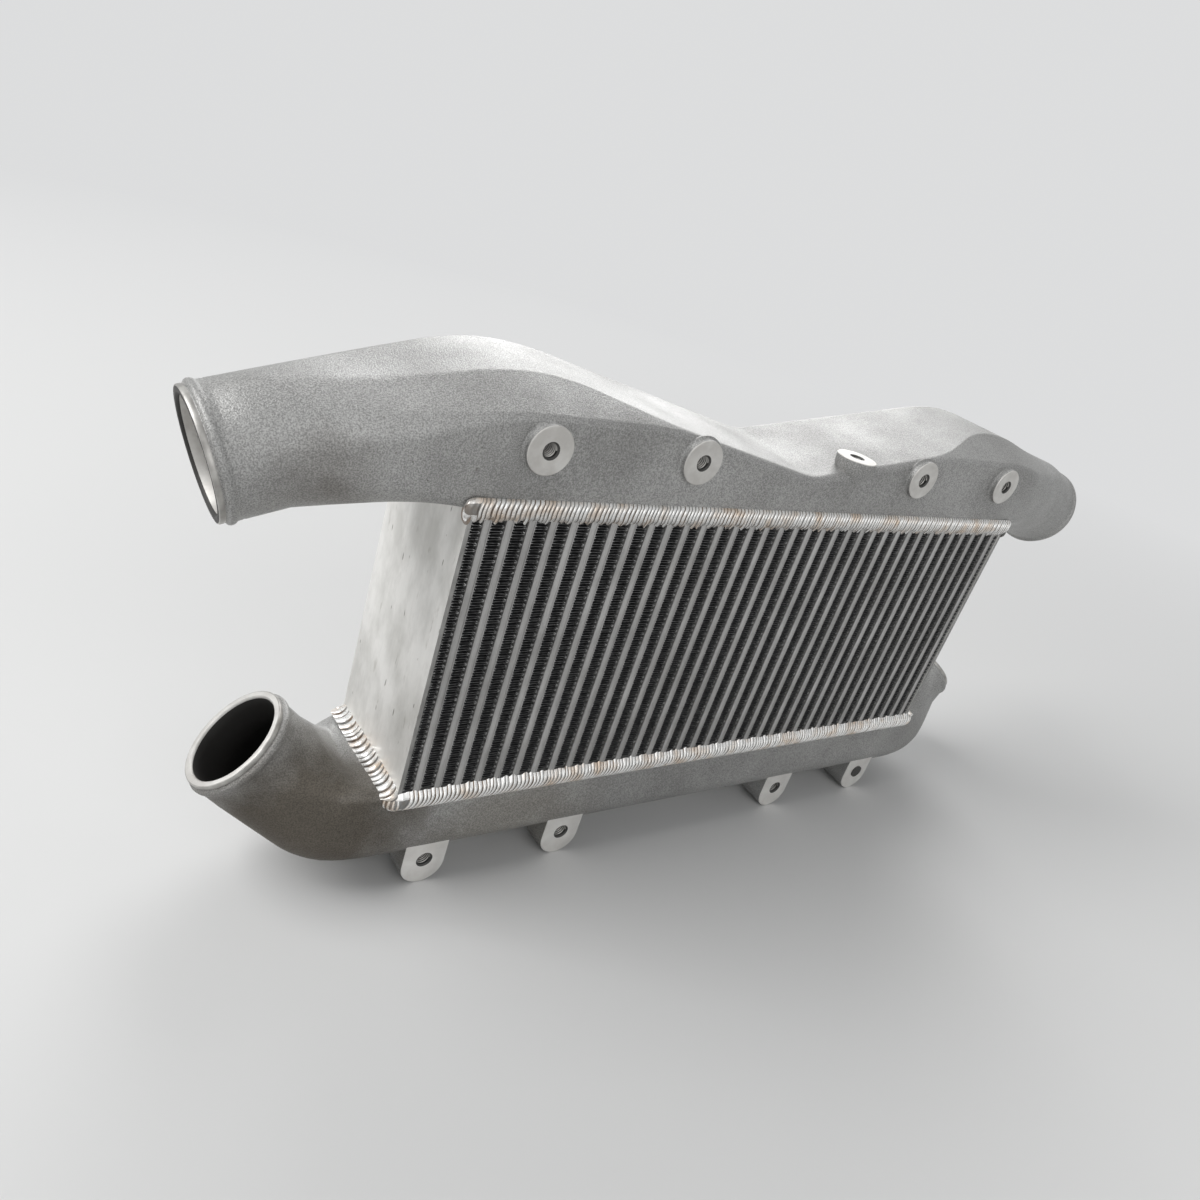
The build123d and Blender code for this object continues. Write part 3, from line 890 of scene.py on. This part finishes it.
def lug_shape():
    """A foot with a round end. Its face is at the origin and looks up, and that face's edge is broken."""
    bm = bmesh.new()
    radius = LUG_WIDTH / 2
    top = CORE_BOTTOM - TROUGH_DEPTH + TROUGH_EDGE_RADIUS
    corners = []
    for step in range(LUG_CHORDS + 1):
        angle = radians(180 + 180 * step / LUG_CHORDS)
        corners.append((radius * cos(angle), radius + radius * sin(angle)))
    corners += [(radius, top), (-radius, top)]
    face = bm.faces.new([bm.verts.new((x, y, 0)) for x, y in corners])
    grown = bmesh.ops.extrude_face_region(bm, geom=[face])
    bmesh.ops.translate(bm, vec=(0, 0, -LUG_DEPTH), verts=new_verts(grown))
    bmesh.ops.recalc_face_normals(bm, faces=bm.faces)
    front = [edge for edge in bm.edges if all(abs(vert.co.z) < SAME_PLACE for vert in edge.verts)]
    bevel_edges(bm, front, LUG_EDGE_BREAK, 2)
    finish_front(bm, LUG_EDGE_BREAK)
    return bm


def lug_places(side):
    """Places of the four lugs on the front, whose side is -1, or on the rear."""
    turn = Matrix.Rotation(pi / 2, 4, "X")
    if side > 0:
        turn = Matrix.Rotation(pi, 4, "Z") @ turn
    for x in (-LUG_OUTER, -LUG_INNER, LUG_INNER, LUG_OUTER):
        yield Matrix.Translation((x, side * (HALF_DEPTH - LUG_RECESS), 0)) @ turn


# Tanks

def window_cutter(z):
    """The opening through a tank's seat on the core."""
    bm = bmesh.new()
    x, y = HALF_LENGTH - WINDOW_EDGE, HALF_DEPTH - WINDOW_EDGE
    block(bm, -x, x, -y, y, z - WALL - CUT_MARGIN, z + WALL + CUT_MARGIN)
    return bm


def room_cutter():
    """The straight room of the trough, with the round lower edges of its walls."""
    bm = bmesh.new()
    side = HALF_DEPTH - WALL - ROOM_CLEARANCE
    low = CORE_BOTTOM - TROUGH_DEPTH + WALL + ROOM_CLEARANCE
    block(bm, -LOWER_BEND_START, LOWER_BEND_START, -side, side, low, CORE_BOTTOM - WALL - CUT_MARGIN)
    bottom = [edge for edge in bm.edges
              if all(vert.co.z < low + 0.1 for vert in edge.verts) and edge_reach(edge, 1) < 1]
    bevel_edges(bm, bottom, TROUGH_EDGE_RADIUS - WALL, 8)
    return bm


def upper_tank():
    station = (UPPER_BEND_END, CORE_TOP, UPPER_NECK_ANGLE, 0.0, 0.0, UPPER_NECK_RUN)
    tank = tank_skin("upper_tank_casting", upper_ring, upper_stops, UPPER_SOFTNESS, station,
                     UPPER_NECK_RADIUS, UPPER_NECK_LENGTH, UPPER_NECK_RADIUS,
                     [UPPER_CAST, TURNED, TURNED, INSIDE])
    *front_places, top_place = boss_places()
    pads = [(boss_pad(BOSS_FILLET), place) for place in front_places] + [(boss_pad(0), top_place)]
    combine(tank, gather("upper_pads", pads, [UPPER_CAST, PAD_FACE]), "UNION")
    holes = [(hole_cutter(THREAD_RADIUS, THREAD_DEPTH), place) for place in boss_places()]
    combine(tank, gather("upper_holes", holes, [BORE]), "DIFFERENCE")
    window = [(window_cutter(CORE_TOP), Matrix.Identity(4))]
    combine(tank, gather("upper_window", window, [INSIDE]), "DIFFERENCE")
    mount(tank, "casting", "upper_tank")
    thread_coils("upper_threads", boss_places(), THREAD_RADIUS)


def lower_tank():
    station = (LOWER_BEND_END, CORE_BOTTOM, LOWER_NECK_ANGLE, LOWER_NECK_SWING, LOWER_NECK_SHIFT,
               LOWER_NECK_RUN)
    tank = tank_skin("lower_tank_casting", lower_ring, lower_stops, LOWER_SOFTNESS, station,
                     LOWER_NECK_RADIUS, LOWER_NECK_LENGTH, -LOWER_NECK_RADIUS,
                     [LOWER_CAST, TURNED, PAD_FACE, INSIDE])
    feet = [(lug_shape(), place) for side in (-1, 1) for place in lug_places(side)]
    combine(tank, gather("lower_feet", feet, [LOWER_CAST, LUG_FACE_PAINTED_LIGHT]), "UNION")
    places = [place @ Matrix.Translation((0, LUG_HOLE_RISE, 0)) for place in lug_places(-1)]
    holes = [(hole_cutter(LUG_HOLE_RADIUS, LUG_HOLE_DEPTH), place) for place in places]
    combine(tank, gather("lower_holes", holes, [BORE]), "DIFFERENCE")
    cuts = [(window_cutter(CORE_BOTTOM), Matrix.Identity(4)), (room_cutter(), Matrix.Identity(4))]
    combine(tank, gather("lower_cuts", cuts, [INSIDE]), "DIFFERENCE")
    mount(tank, "casting", "lower_tank")
    thread_coils("lower_threads", places, LUG_HOLE_RADIUS)


# Core

def passage_centres():
    first = -PASSAGE_PITCH * (PASSAGE_COUNT - 1) / 2
    return [first + PASSAGE_PITCH * index for index in range(PASSAGE_COUNT)]


def cooling_gaps():
    """The left and right edge of each cooling column."""
    left_edges = [-HALF_LENGTH + END_PLATE] + [x + PASSAGE_WIDTH / 2 for x in passage_centres()]
    right_edges = [x - PASSAGE_WIDTH / 2 for x in passage_centres()] + [HALF_LENGTH - END_PLATE]
    return list(zip(left_edges, right_edges))


def end_plate(side, node):
    """An end plate with broken edges, its edge faces coloured greyer."""
    bm = bmesh.new()
    x = side * (HALF_LENGTH - END_PLATE / 2)
    block(bm, x - END_PLATE / 2, x + END_PLATE / 2, -HALF_DEPTH, HALF_DEPTH, CORE_BOTTOM, CORE_TOP)
    bevel_edges(bm, bm.edges[:], END_PLATE_EDGE_BREAK, 2)
    for face in bm.faces:
        if abs(face.normal.x) < 0.5:
            face.material_index = 1
    mount(make_object(node + "_rolled", bm, [PLATE, PLATE_EDGE], 50), "plate", node)


def face_bars(side, node):
    """The bars on one face, each with its long outer edges broken."""
    bm = bmesh.new()
    outer, inner = side * HALF_DEPTH, side * (HALF_DEPTH - FACE_BAR_DEPTH)
    half = FACE_BAR_WIDTH / 2
    for x in passage_centres():
        block(bm, x - half, x + half, min(outer, inner), max(outer, inner), CORE_BOTTOM, CORE_TOP)
    edges = [edge for edge in bm.edges
             if all(abs(vert.co.y - outer) < SAME_PLACE for vert in edge.verts) and edge_reach(edge, 2) > 1]
    bevel_edges(bm, edges, FACE_BAR_EDGE_BREAK, 2)
    mount(make_object(node + "_rolled", bm, [BAR], 50), "bar", node)


def fin_strip(bm, x0, x1, y0, y1, start):
    """One row of a folded fin: a zigzag up the column, drawn out in depth."""
    low = CORE_BOTTOM + HEADER_BAR_HEIGHT + FIN_END_GAP
    high = CORE_TOP - HEADER_BAR_HEIGHT - FIN_END_GAP
    left, right = x0 + FIN_METAL, x1 - FIN_METAL
    leg = FIN_PITCH / 2
    chain = []
    for index in range(int((high - low - start) / leg)):
        x, far, ahead = (right, left, -1) if index % 2 else (left, right, 1)
        z = low + start + index * leg
        for across, share in zip((x, x, x + ahead * FOLD_REACH, far - ahead * FOLD_REACH), LEG_SHARES):
            sway = random.uniform(-FIN_SWAY, FIN_SWAY)
            chain.append(bm.verts.new((across, y0, min(z + share * FIN_PITCH + sway, high))))
    edges = [bm.edges.new(pair) for pair in zip(chain, chain[1:])]
    grown = bmesh.ops.extrude_edge_only(bm, edges=edges)
    bmesh.ops.translate(bm, vec=(0, y1 - y0, 0), verts=new_verts(grown))


def cooling_fin(number, x0, x1):
    """A column's fins: two offset rows behind each face, and between them a dark block, painted shade in
    place of the deeper fins.
    """
    bm = bmesh.new()
    pace = FIN_ROW_DEPTH + FIN_ROW_GAP
    for side in (1, -1):
        for row, offset in ((0, 0.0), (1, FIN_PITCH / 4)):
            near = FIN_RECESS - HALF_DEPTH + row * pace
            start = offset + random.uniform(0, FIN_START_SPREAD)
            fin_strip(bm, x0, x1, side * near, side * (near + FIN_ROW_DEPTH), start)
    bmesh.ops.solidify(bm, geom=bm.faces[:], thickness=FIN_METAL)
    bmesh.ops.recalc_face_normals(bm, faces=bm.faces)
    for face in bm.faces:
        middle = face.calc_center_median()
        if min(middle.x - x0, x1 - middle.x) < FOLD_REACH:
            face.material_index = 2
        elif abs(face.normal.y) > 0.9 and abs(middle.y) > HALF_DEPTH - FIN_RECESS - 0.5:
            face.material_index = 1
    # The block between the rows is painted shade in place of the deeper fins
    front = 2 * pace - HALF_DEPTH + FILLING_RECESS
    block(bm, x0, x1, front, -front, CORE_BOTTOM + HEADER_BAR_HEIGHT, CORE_TOP - HEADER_BAR_HEIGHT)
    fin = make_object(f"cooling_fin_folds_{number:02d}", bm, [FIN, EDGE, FOLD], 30)
    mount(fin, "fin", f"cooling_fin_{number:02d}")


# Welds

def ripple_stops(length, pitch, relief, crater, uneven):
    """Where a bead's rings stand: each one's place, its size, and whether the stretch after it takes the
    valley's painted shade.
    """
    craters = np.arange(0.0, crater, CRATER_STEP)
    stops = [(step - length / 2, random.uniform(0.6, 0.8), True) for step in craters]
    position = crater - length / 2
    while position < length / 2:
        ripple = pitch * random.uniform(1 - uneven, 1 + uneven)
        swell = random.uniform(0.88, 1.0)
        for share in RIPPLE_SHARES:
            size = swell * (1 - relief * (1 - sqrt(sin(pi * share))))
            stops.append((position + ripple * share, size, share in (RIPPLE_SHARES[0], RIPPLE_SHARES[-1])))
        position += ripple
    return [stop for stop in stops if stop[0] <= length / 2]


def column_teeth(longest):
    """Two teeth of weld metal at each fin column: the place of each, half its width and its length."""
    teeth = []
    for x0, x1 in cooling_gaps():
        for shift in (-TOOTH_SHIFT, TOOTH_SHIFT):
            centre = (x0 + x1) / 2 + shift + random.uniform(-0.8, 0.8)
            teeth.append((centre, random.uniform(1.3, 2.2), longest * random.uniform(0.3, 1.0)))
    return teeth


def tooth_reach(teeth, position):
    """How far a bead's edge hangs out at a place: its hem and the tooth there, if it has teeth."""
    if not teeth:
        return 0.0
    reaches = [reach * sqrt(max(0.0, 1 - abs(position - centre) / half)) for centre, half, reach in teeth]
    return max(reaches) + FACE_WELD_HEM


def rippled_bead(bm, section, length, pitch, relief, bow, lean, crater=0.0, hanging=(), rising=(),
                 uneven=0.2, fade=1.0):
    """A weld bead along X, as overlapping crescents. The section gives its ring of points for a size.

    Teeth hang from its lower edge or rise from its upper one. At its low X end the bead is only as high
    as fade says, as a share of its full height.
    """
    stops = ripple_stops(length, pitch, relief, crater, uneven)
    rings = []
    for position, size, _ in stops:
        room = min(1.0, (length / 2 - abs(position)) / BEAD_END_LENGTH)
        dome = sqrt(1 - (1 - room) ** 2)
        stand = BEAD_END_STAND + (1 - BEAD_END_STAND) * dome
        height = BEAD_END_HEIGHT + (1 - BEAD_END_HEIGHT) * dome
        low = 1 - (1 - fade) * max(0.0, 1 - (position + length / 2) / FADE_LENGTH)
        down, up = tooth_reach(hanging, position), tooth_reach(rising, position)
        ring = []
        for v, y, z in section(size):
            y, z = y * stand, z * height * low
            if v is None:
                ring.append((position, y, z))
            else:
                z += up * max(0.0, v) ** TOOTH_POWER - down * max(0.0, -v) ** TOOTH_POWER
                ring.append((position + dome * (lean * v - bow * (1 - v * v)), y, z))
        rings.append(ring)
    loft(bm, rings)
    ends = [edge for edge in bm.edges if edge.is_boundary]
    bmesh.ops.holes_fill(bm, edges=ends, sides=0)
    bmesh.ops.recalc_face_normals(bm, faces=bm.faces)
    paint_valley_shade(bm, stops, crater - length / 2)


def paint_valley_shade(bm, stops, crater_end):
    """Gives the valley's painted shade to the stretches between a bead's ripples, and to its crater but for
    the strips along its edges.
    """
    level, order = bm.verts.layers.int["level"], bm.verts.layers.int["order"]
    for face in bm.faces:
        position, _, dull_and_shade = stops[min(vert[level] for vert in face.verts)]
        orders = [vert[order] for vert in face.verts]
        edge_strip = min(orders) < BEAD_EDGE_POINTS or max(orders) > BEAD_STEPS - BEAD_EDGE_POINTS
        if dull_and_shade and not (position < crater_end and edge_strip):
            face.material_index = 1


def face_section(side):
    """Points over a flat bead, from its lower edge to its upper one, and back inside the wall."""
    def section(size):
        points = []
        for step in range(BEAD_STEPS + 1):
            v = 2 * step / BEAD_STEPS - 1
            calm = 1 - (1 - size) * (1 - 0.7 * abs(v) ** 3)
            stand = FACE_WELD_STAND * calm * (1 - abs(v) ** 2.4) ** 0.6
            points.append((v, side * stand, v * FACE_WELD_HEIGHT / 2))
        root = FACE_WELD_HEIGHT / 2 - BEAD_ROOT_INSET
        points += [(None, -side * BEAD_ROOT_DEPTH, root), (None, -side * BEAD_ROOT_DEPTH, -root)]
        return points
    return section


def corner_section(side):
    """Points over a fillet bead, nearly flat, in the corner between the lower tank and an end plate."""
    def section(size):
        points = []
        for step in range(BEAD_STEPS + 1):
            v = 2 * step / BEAD_STEPS - 1
            share = (1 + v) / 2
            swell = END_WELD_SWELL * (1 - v * v) - (1 - size) * END_WELD_ON_PLATE * (1 - 0.8 * abs(v) ** 3)
            along_tank = END_WELD_ON_TANK * (1 - share) + swell
            points.append((v, side * along_tank, END_WELD_ON_PLATE * share + swell))
        points.append((None, -side * BEAD_ROOT_DEPTH, END_WELD_ON_PLATE * 0.6))
        points.append((None, -side * BEAD_ROOT_DEPTH, -BEAD_ROOT_INSET))
        points.append((None, side * END_WELD_ON_TANK * 0.6, -BEAD_ROOT_INSET))
        return points
    return section


def puddle(bm, centre, radii, turn, finish):
    """A rounded patch of weld metal, where a bead starts, ends or turns a corner."""
    verts = bmesh.ops.create_uvsphere(bm, u_segments=20, v_segments=12, radius=1)["verts"]
    place = Matrix.Translation(centre) @ Matrix.Rotation(turn, 4, "Z") @ Matrix.Diagonal((*radii, 1))
    bmesh.ops.transform(bm, matrix=place, verts=verts)
    for face in {face for vert in verts for face in vert.link_faces}:
        # A finish of one gives the patch the valley's painted shade colour
        face.material_index = finish


def corner_puddles(end, side):
    """Ripples round the corner where a lower face bead meets an end bead, each on the last one's edge."""
    for step in range(CORNER_RIPPLES):
        turn = radians(90 * step / (CORNER_RIPPLES - 1))
        # Every other ripple round the corner takes the valley's painted shade
        dull_and_shade = step % 2
        x = HALF_LENGTH - CORNER_IN_LENGTH + CORNER_ARC * cos(turn)
        y = HALF_DEPTH - CORNER_IN_DEPTH + CORNER_ARC * sin(turn)
        radii = (3.4 - 0.3 * dull_and_shade, random.uniform(1.2, 1.5), 4.4 - 0.4 * dull_and_shade)
        yield (end * x, side * y, CORE_BOTTOM - CORNER_DROP), radii, end * side * turn, dull_and_shade


def bead_tails(side):
    """Patches over both ends of an upper bead."""
    for end in (-1, 1):
        centre = (end * HALF_LENGTH, side * (HALF_DEPTH - TAIL_IN_DEPTH), CORE_TOP - TAIL_DROP)
        for radii, finish in BEAD_TAILS:
            yield centre, radii, 0, finish


def weld_piece(node, bead, place, puddles=()):
    """Places a bead, adds its puddles and puts it in the solid's stead."""
    bmesh.ops.transform(bead, matrix=place, verts=bead.verts)
    for centre, radii, turn, finish in puddles:
        puddle(bead, centre, radii, turn, finish)
    mount(make_object(node + "_bead", bead, [WELD, VALLEY], 60), "weld", node)


def upper_weld(side, node):
    bead = bmesh.new()
    rippled_bead(bead, face_section(side), FACE_BEAD_LENGTH, RIPPLE_PITCH, relief=0.34, bow=2.0, lean=0.6,
                 crater=CRATER_LENGTH, hanging=column_teeth(UPPER_TOOTH), uneven=0.28)
    height = CORE_TOP - FACE_WELD_OVERLAP + FACE_WELD_HEIGHT / 2
    weld_piece(node, bead, Matrix.Translation((0, side * HALF_DEPTH, height)), bead_tails(side))


def lower_weld(side, node):
    bead = bmesh.new()
    rippled_bead(bead, face_section(side), FACE_BEAD_LENGTH, RIPPLE_PITCH, relief=0.36, bow=-1.5, lean=2.4,
                 crater=CRATER_LENGTH, rising=column_teeth(LOWER_TOOTH))
    corners = [patch for end in (-1, 1) for patch in corner_puddles(end, side)]
    height = CORE_BOTTOM + FACE_WELD_OVERLAP - FACE_WELD_HEIGHT / 2
    weld_piece(node, bead, Matrix.Translation((0, side * HALF_DEPTH, height)), corners)


def end_weld(side, node):
    bead = bmesh.new()
    rippled_bead(bead, corner_section(side), END_BEAD_LENGTH, END_RIPPLE_PITCH, relief=0.2, bow=-3.5,
                 lean=0.0, uneven=0.33, fade=0.6)
    place = Matrix.Translation((side * HALF_LENGTH, 0, CORE_BOTTOM)) @ Matrix.Rotation(-pi / 2, 4, "Z")
    weld_piece(node, bead, place)


# The stage: floor, backdrop, lamps and camera

def seen_directly(tree):
    """One for what the camera sees, itself or in metal, and nought for what lights the object."""
    path = tree.nodes.new("ShaderNodeLightPath")
    mirrored = maths(tree, "MAXIMUM", path.outputs["Is Glossy Ray"], path.outputs["Is Transmission Ray"])
    return maths(tree, "MAXIMUM", path.outputs["Is Camera Ray"], mirrored)


def mix_shaders(tree, share, first, second, output):
    node = tree.nodes.new("ShaderNodeMixShader")
    for number, socket in enumerate((share, first, second)):
        tree.links.new(socket, node.inputs[number])
    tree.links.new(node.outputs[0], output.inputs["Surface"])


def pale_floor():
    """A pale floor that fades into the backdrop's colour."""
    material, tree, shader = new_material("pale_floor", (0.7, 0.7, 0.695), 0.0, 0.6)
    shader.inputs["Specular IOR Level"].default_value = 0
    far = tree.nodes.new("ShaderNodeEmission")
    far.inputs["Color"].default_value = (*BACKDROP, 1)
    away = tree.nodes.new("ShaderNodeVectorMath")
    away.operation = "LENGTH"
    tree.links.new(pattern_place(tree), away.inputs[0])
    fade = map_value(tree, away.outputs["Value"], FLOOR_FADE_START, FLOOR_FADE_END, 0, 1)
    share = maths(tree, "MULTIPLY", fade, seen_directly(tree))
    mix_shaders(tree, share, shader.outputs[0], far.outputs[0], tree.nodes["Material Output"])
    bm = bmesh.new()
    bmesh.ops.create_grid(bm, x_segments=1, y_segments=1, size=FLOOR_SIZE)
    floor = make_object("floor", bm, [material])


def backdrop():
    """A world of the backdrop's colour where it is seen, and dim where it lights the object."""
    world = bpy.data.worlds.new("studio")
    bpy.context.scene.world = world
    world.use_nodes = True
    tree = world.node_tree
    dim = tree.nodes["Background"]
    dim.inputs["Color"].default_value = (0.92, 0.94, 0.96, 1)
    dim.inputs["Strength"].default_value = 0.24
    pale = tree.nodes.new("ShaderNodeBackground")
    pale.inputs["Color"].default_value = (*BACKDROP, 1)
    mix_shaders(tree, seen_directly(tree), dim.outputs[0], pale.outputs[0], tree.nodes["World Output"])


def lamps():
    """Three soft lamps that look at the core."""
    for name, (spot, size, power) in LAMPS.items():
        lamp = bpy.data.lights.new(name, "AREA")
        lamp.size = size
        lamp.energy = power
        light = bpy.data.objects.new(name, lamp)
        light.visible_camera = False
        light.location = spot
        aim = Vector(LAMP_AIM) - Vector(spot)
        light.rotation_euler = aim.to_track_quat("-Z", "Y").to_euler()
        bpy.context.scene.collection.objects.link(light)


def camera():
    """The camera at the photograph's viewing angle."""
    lens = bpy.data.cameras.new("camera")
    lens.lens = CAMERA_LENS
    lens.sensor_width = CAMERA_SENSOR
    lens.sensor_fit = "HORIZONTAL"
    lens.clip_start = 0.01
    view = bpy.data.objects.new("camera", lens)
    turn = Matrix((CAMERA_RIGHT, CAMERA_UP, CAMERA_BACK)).transposed().to_4x4()
    view.matrix_world = Matrix.Translation(CAMERA_PLACE) @ turn
    bpy.context.scene.collection.objects.link(view)
    bpy.context.scene.camera = view
    bpy.context.scene.view_settings.view_transform = "Standard"


def finish_solids():
    """Gives the solids that are shown as they are their own finish."""
    finishes = {"parting_sheets": BAR, "upper_header_bars": BAR, "lower_header_bars": BAR, "charge_fins": FIN}
    for name, material in finishes.items():
        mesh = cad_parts[name].data
        mesh.materials.clear()
        mesh.materials.append(material)


upper_tank()
lower_tank()
end_plate(-1, "left_end_plate")
end_plate(1, "right_end_plate")
face_bars(-1, "front_face_bars")
face_bars(1, "rear_face_bars")
for number, (x0, x1) in enumerate(cooling_gaps(), start=1):
    cooling_fin(number, x0, x1)
upper_weld(-1, "upper_front_weld")
upper_weld(1, "upper_rear_weld")
lower_weld(-1, "lower_front_weld")
lower_weld(1, "lower_rear_weld")
end_weld(-1, "lower_left_weld")
end_weld(1, "lower_right_weld")
finish_solids()
pale_floor()
backdrop()
lamps()
camera()
